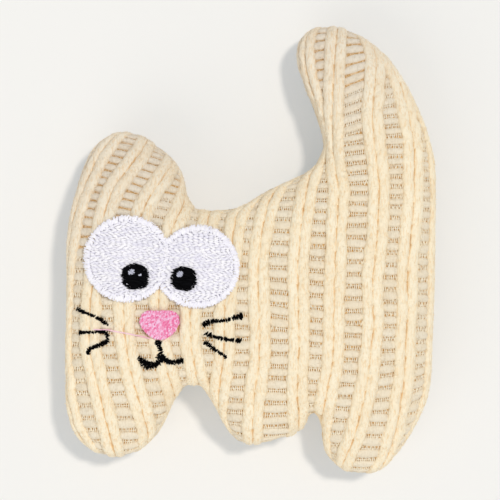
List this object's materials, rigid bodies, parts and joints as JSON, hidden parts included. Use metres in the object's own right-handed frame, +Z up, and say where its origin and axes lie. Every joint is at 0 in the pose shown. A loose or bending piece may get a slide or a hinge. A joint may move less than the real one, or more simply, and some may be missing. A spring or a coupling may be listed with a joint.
{
  "type": "stuffed knit cat toy",
  "caption": "Flat stuffed cat toy for pets: rib-knit panels sewn round a cat's outline with ear, feet and raised tail, fibre stuffing, a catnip pouch and an embroidered face.",
  "frame": {"origin": "on the surface that the toy lies on, below the middle of its bounding box", "axes": "+Z up out of the face, +Y towards the tail tip and the top of the picture, +X towards the rump"},
  "size_m": [0.0986, 0.12, 0.0268],
  "materials": {
    "chenille_knit": "cream chenille rib knit, matt and slightly fuzzy",
    "sewing_thread": "spun polyester sewing thread",
    "fibre_fill": "matt white polyester fibre",
    "nonwoven": "thin bonded nonwoven sheet",
    "dried_leaf": "matt crumbled dried leaf",
    "white_thread": "silky cool-white embroidery thread",
    "black_thread": "silky black embroidery thread",
    "pink_thread": "silky pink embroidery thread"
  },
  "bodies": {
    "root": {"front_panel": "chenille_knit", "back_panel": "chenille_knit", "seam_needle_thread": "sewing_thread", "seam_bobbin_thread": "sewing_thread", "closing_thread": "sewing_thread", "ear_stuffing": "fibre_fill", "head_stuffing": "fibre_fill", "front_leg_stuffing": "fibre_fill", "middle_leg_stuffing": "fibre_fill", "rear_leg_stuffing": "fibre_fill", "tail_stuffing": "fibre_fill", "torso_stuffing_front": "fibre_fill", "torso_stuffing_back": "fibre_fill", "catnip_pouch_front": "nonwoven", "catnip_pouch_back": "nonwoven", "catnip_leaf": "dried_leaf", "embroidery_backing": "nonwoven", "left_eye_white": "white_thread", "right_eye_white": "white_thread", "left_pupil": "black_thread", "right_pupil": "black_thread", "left_glint": "white_thread", "right_glint": "white_thread", "nose": "pink_thread", "nose_jump_thread": "pink_thread", "philtrum": "black_thread", "mouth": "black_thread", "left_upper_whisker": "black_thread", "left_middle_whisker": "black_thread", "left_lower_whisker": "black_thread", "right_upper_whisker": "black_thread", "right_middle_whisker": "black_thread", "right_lower_whisker": "black_thread"}
  },
  "joints": []
}
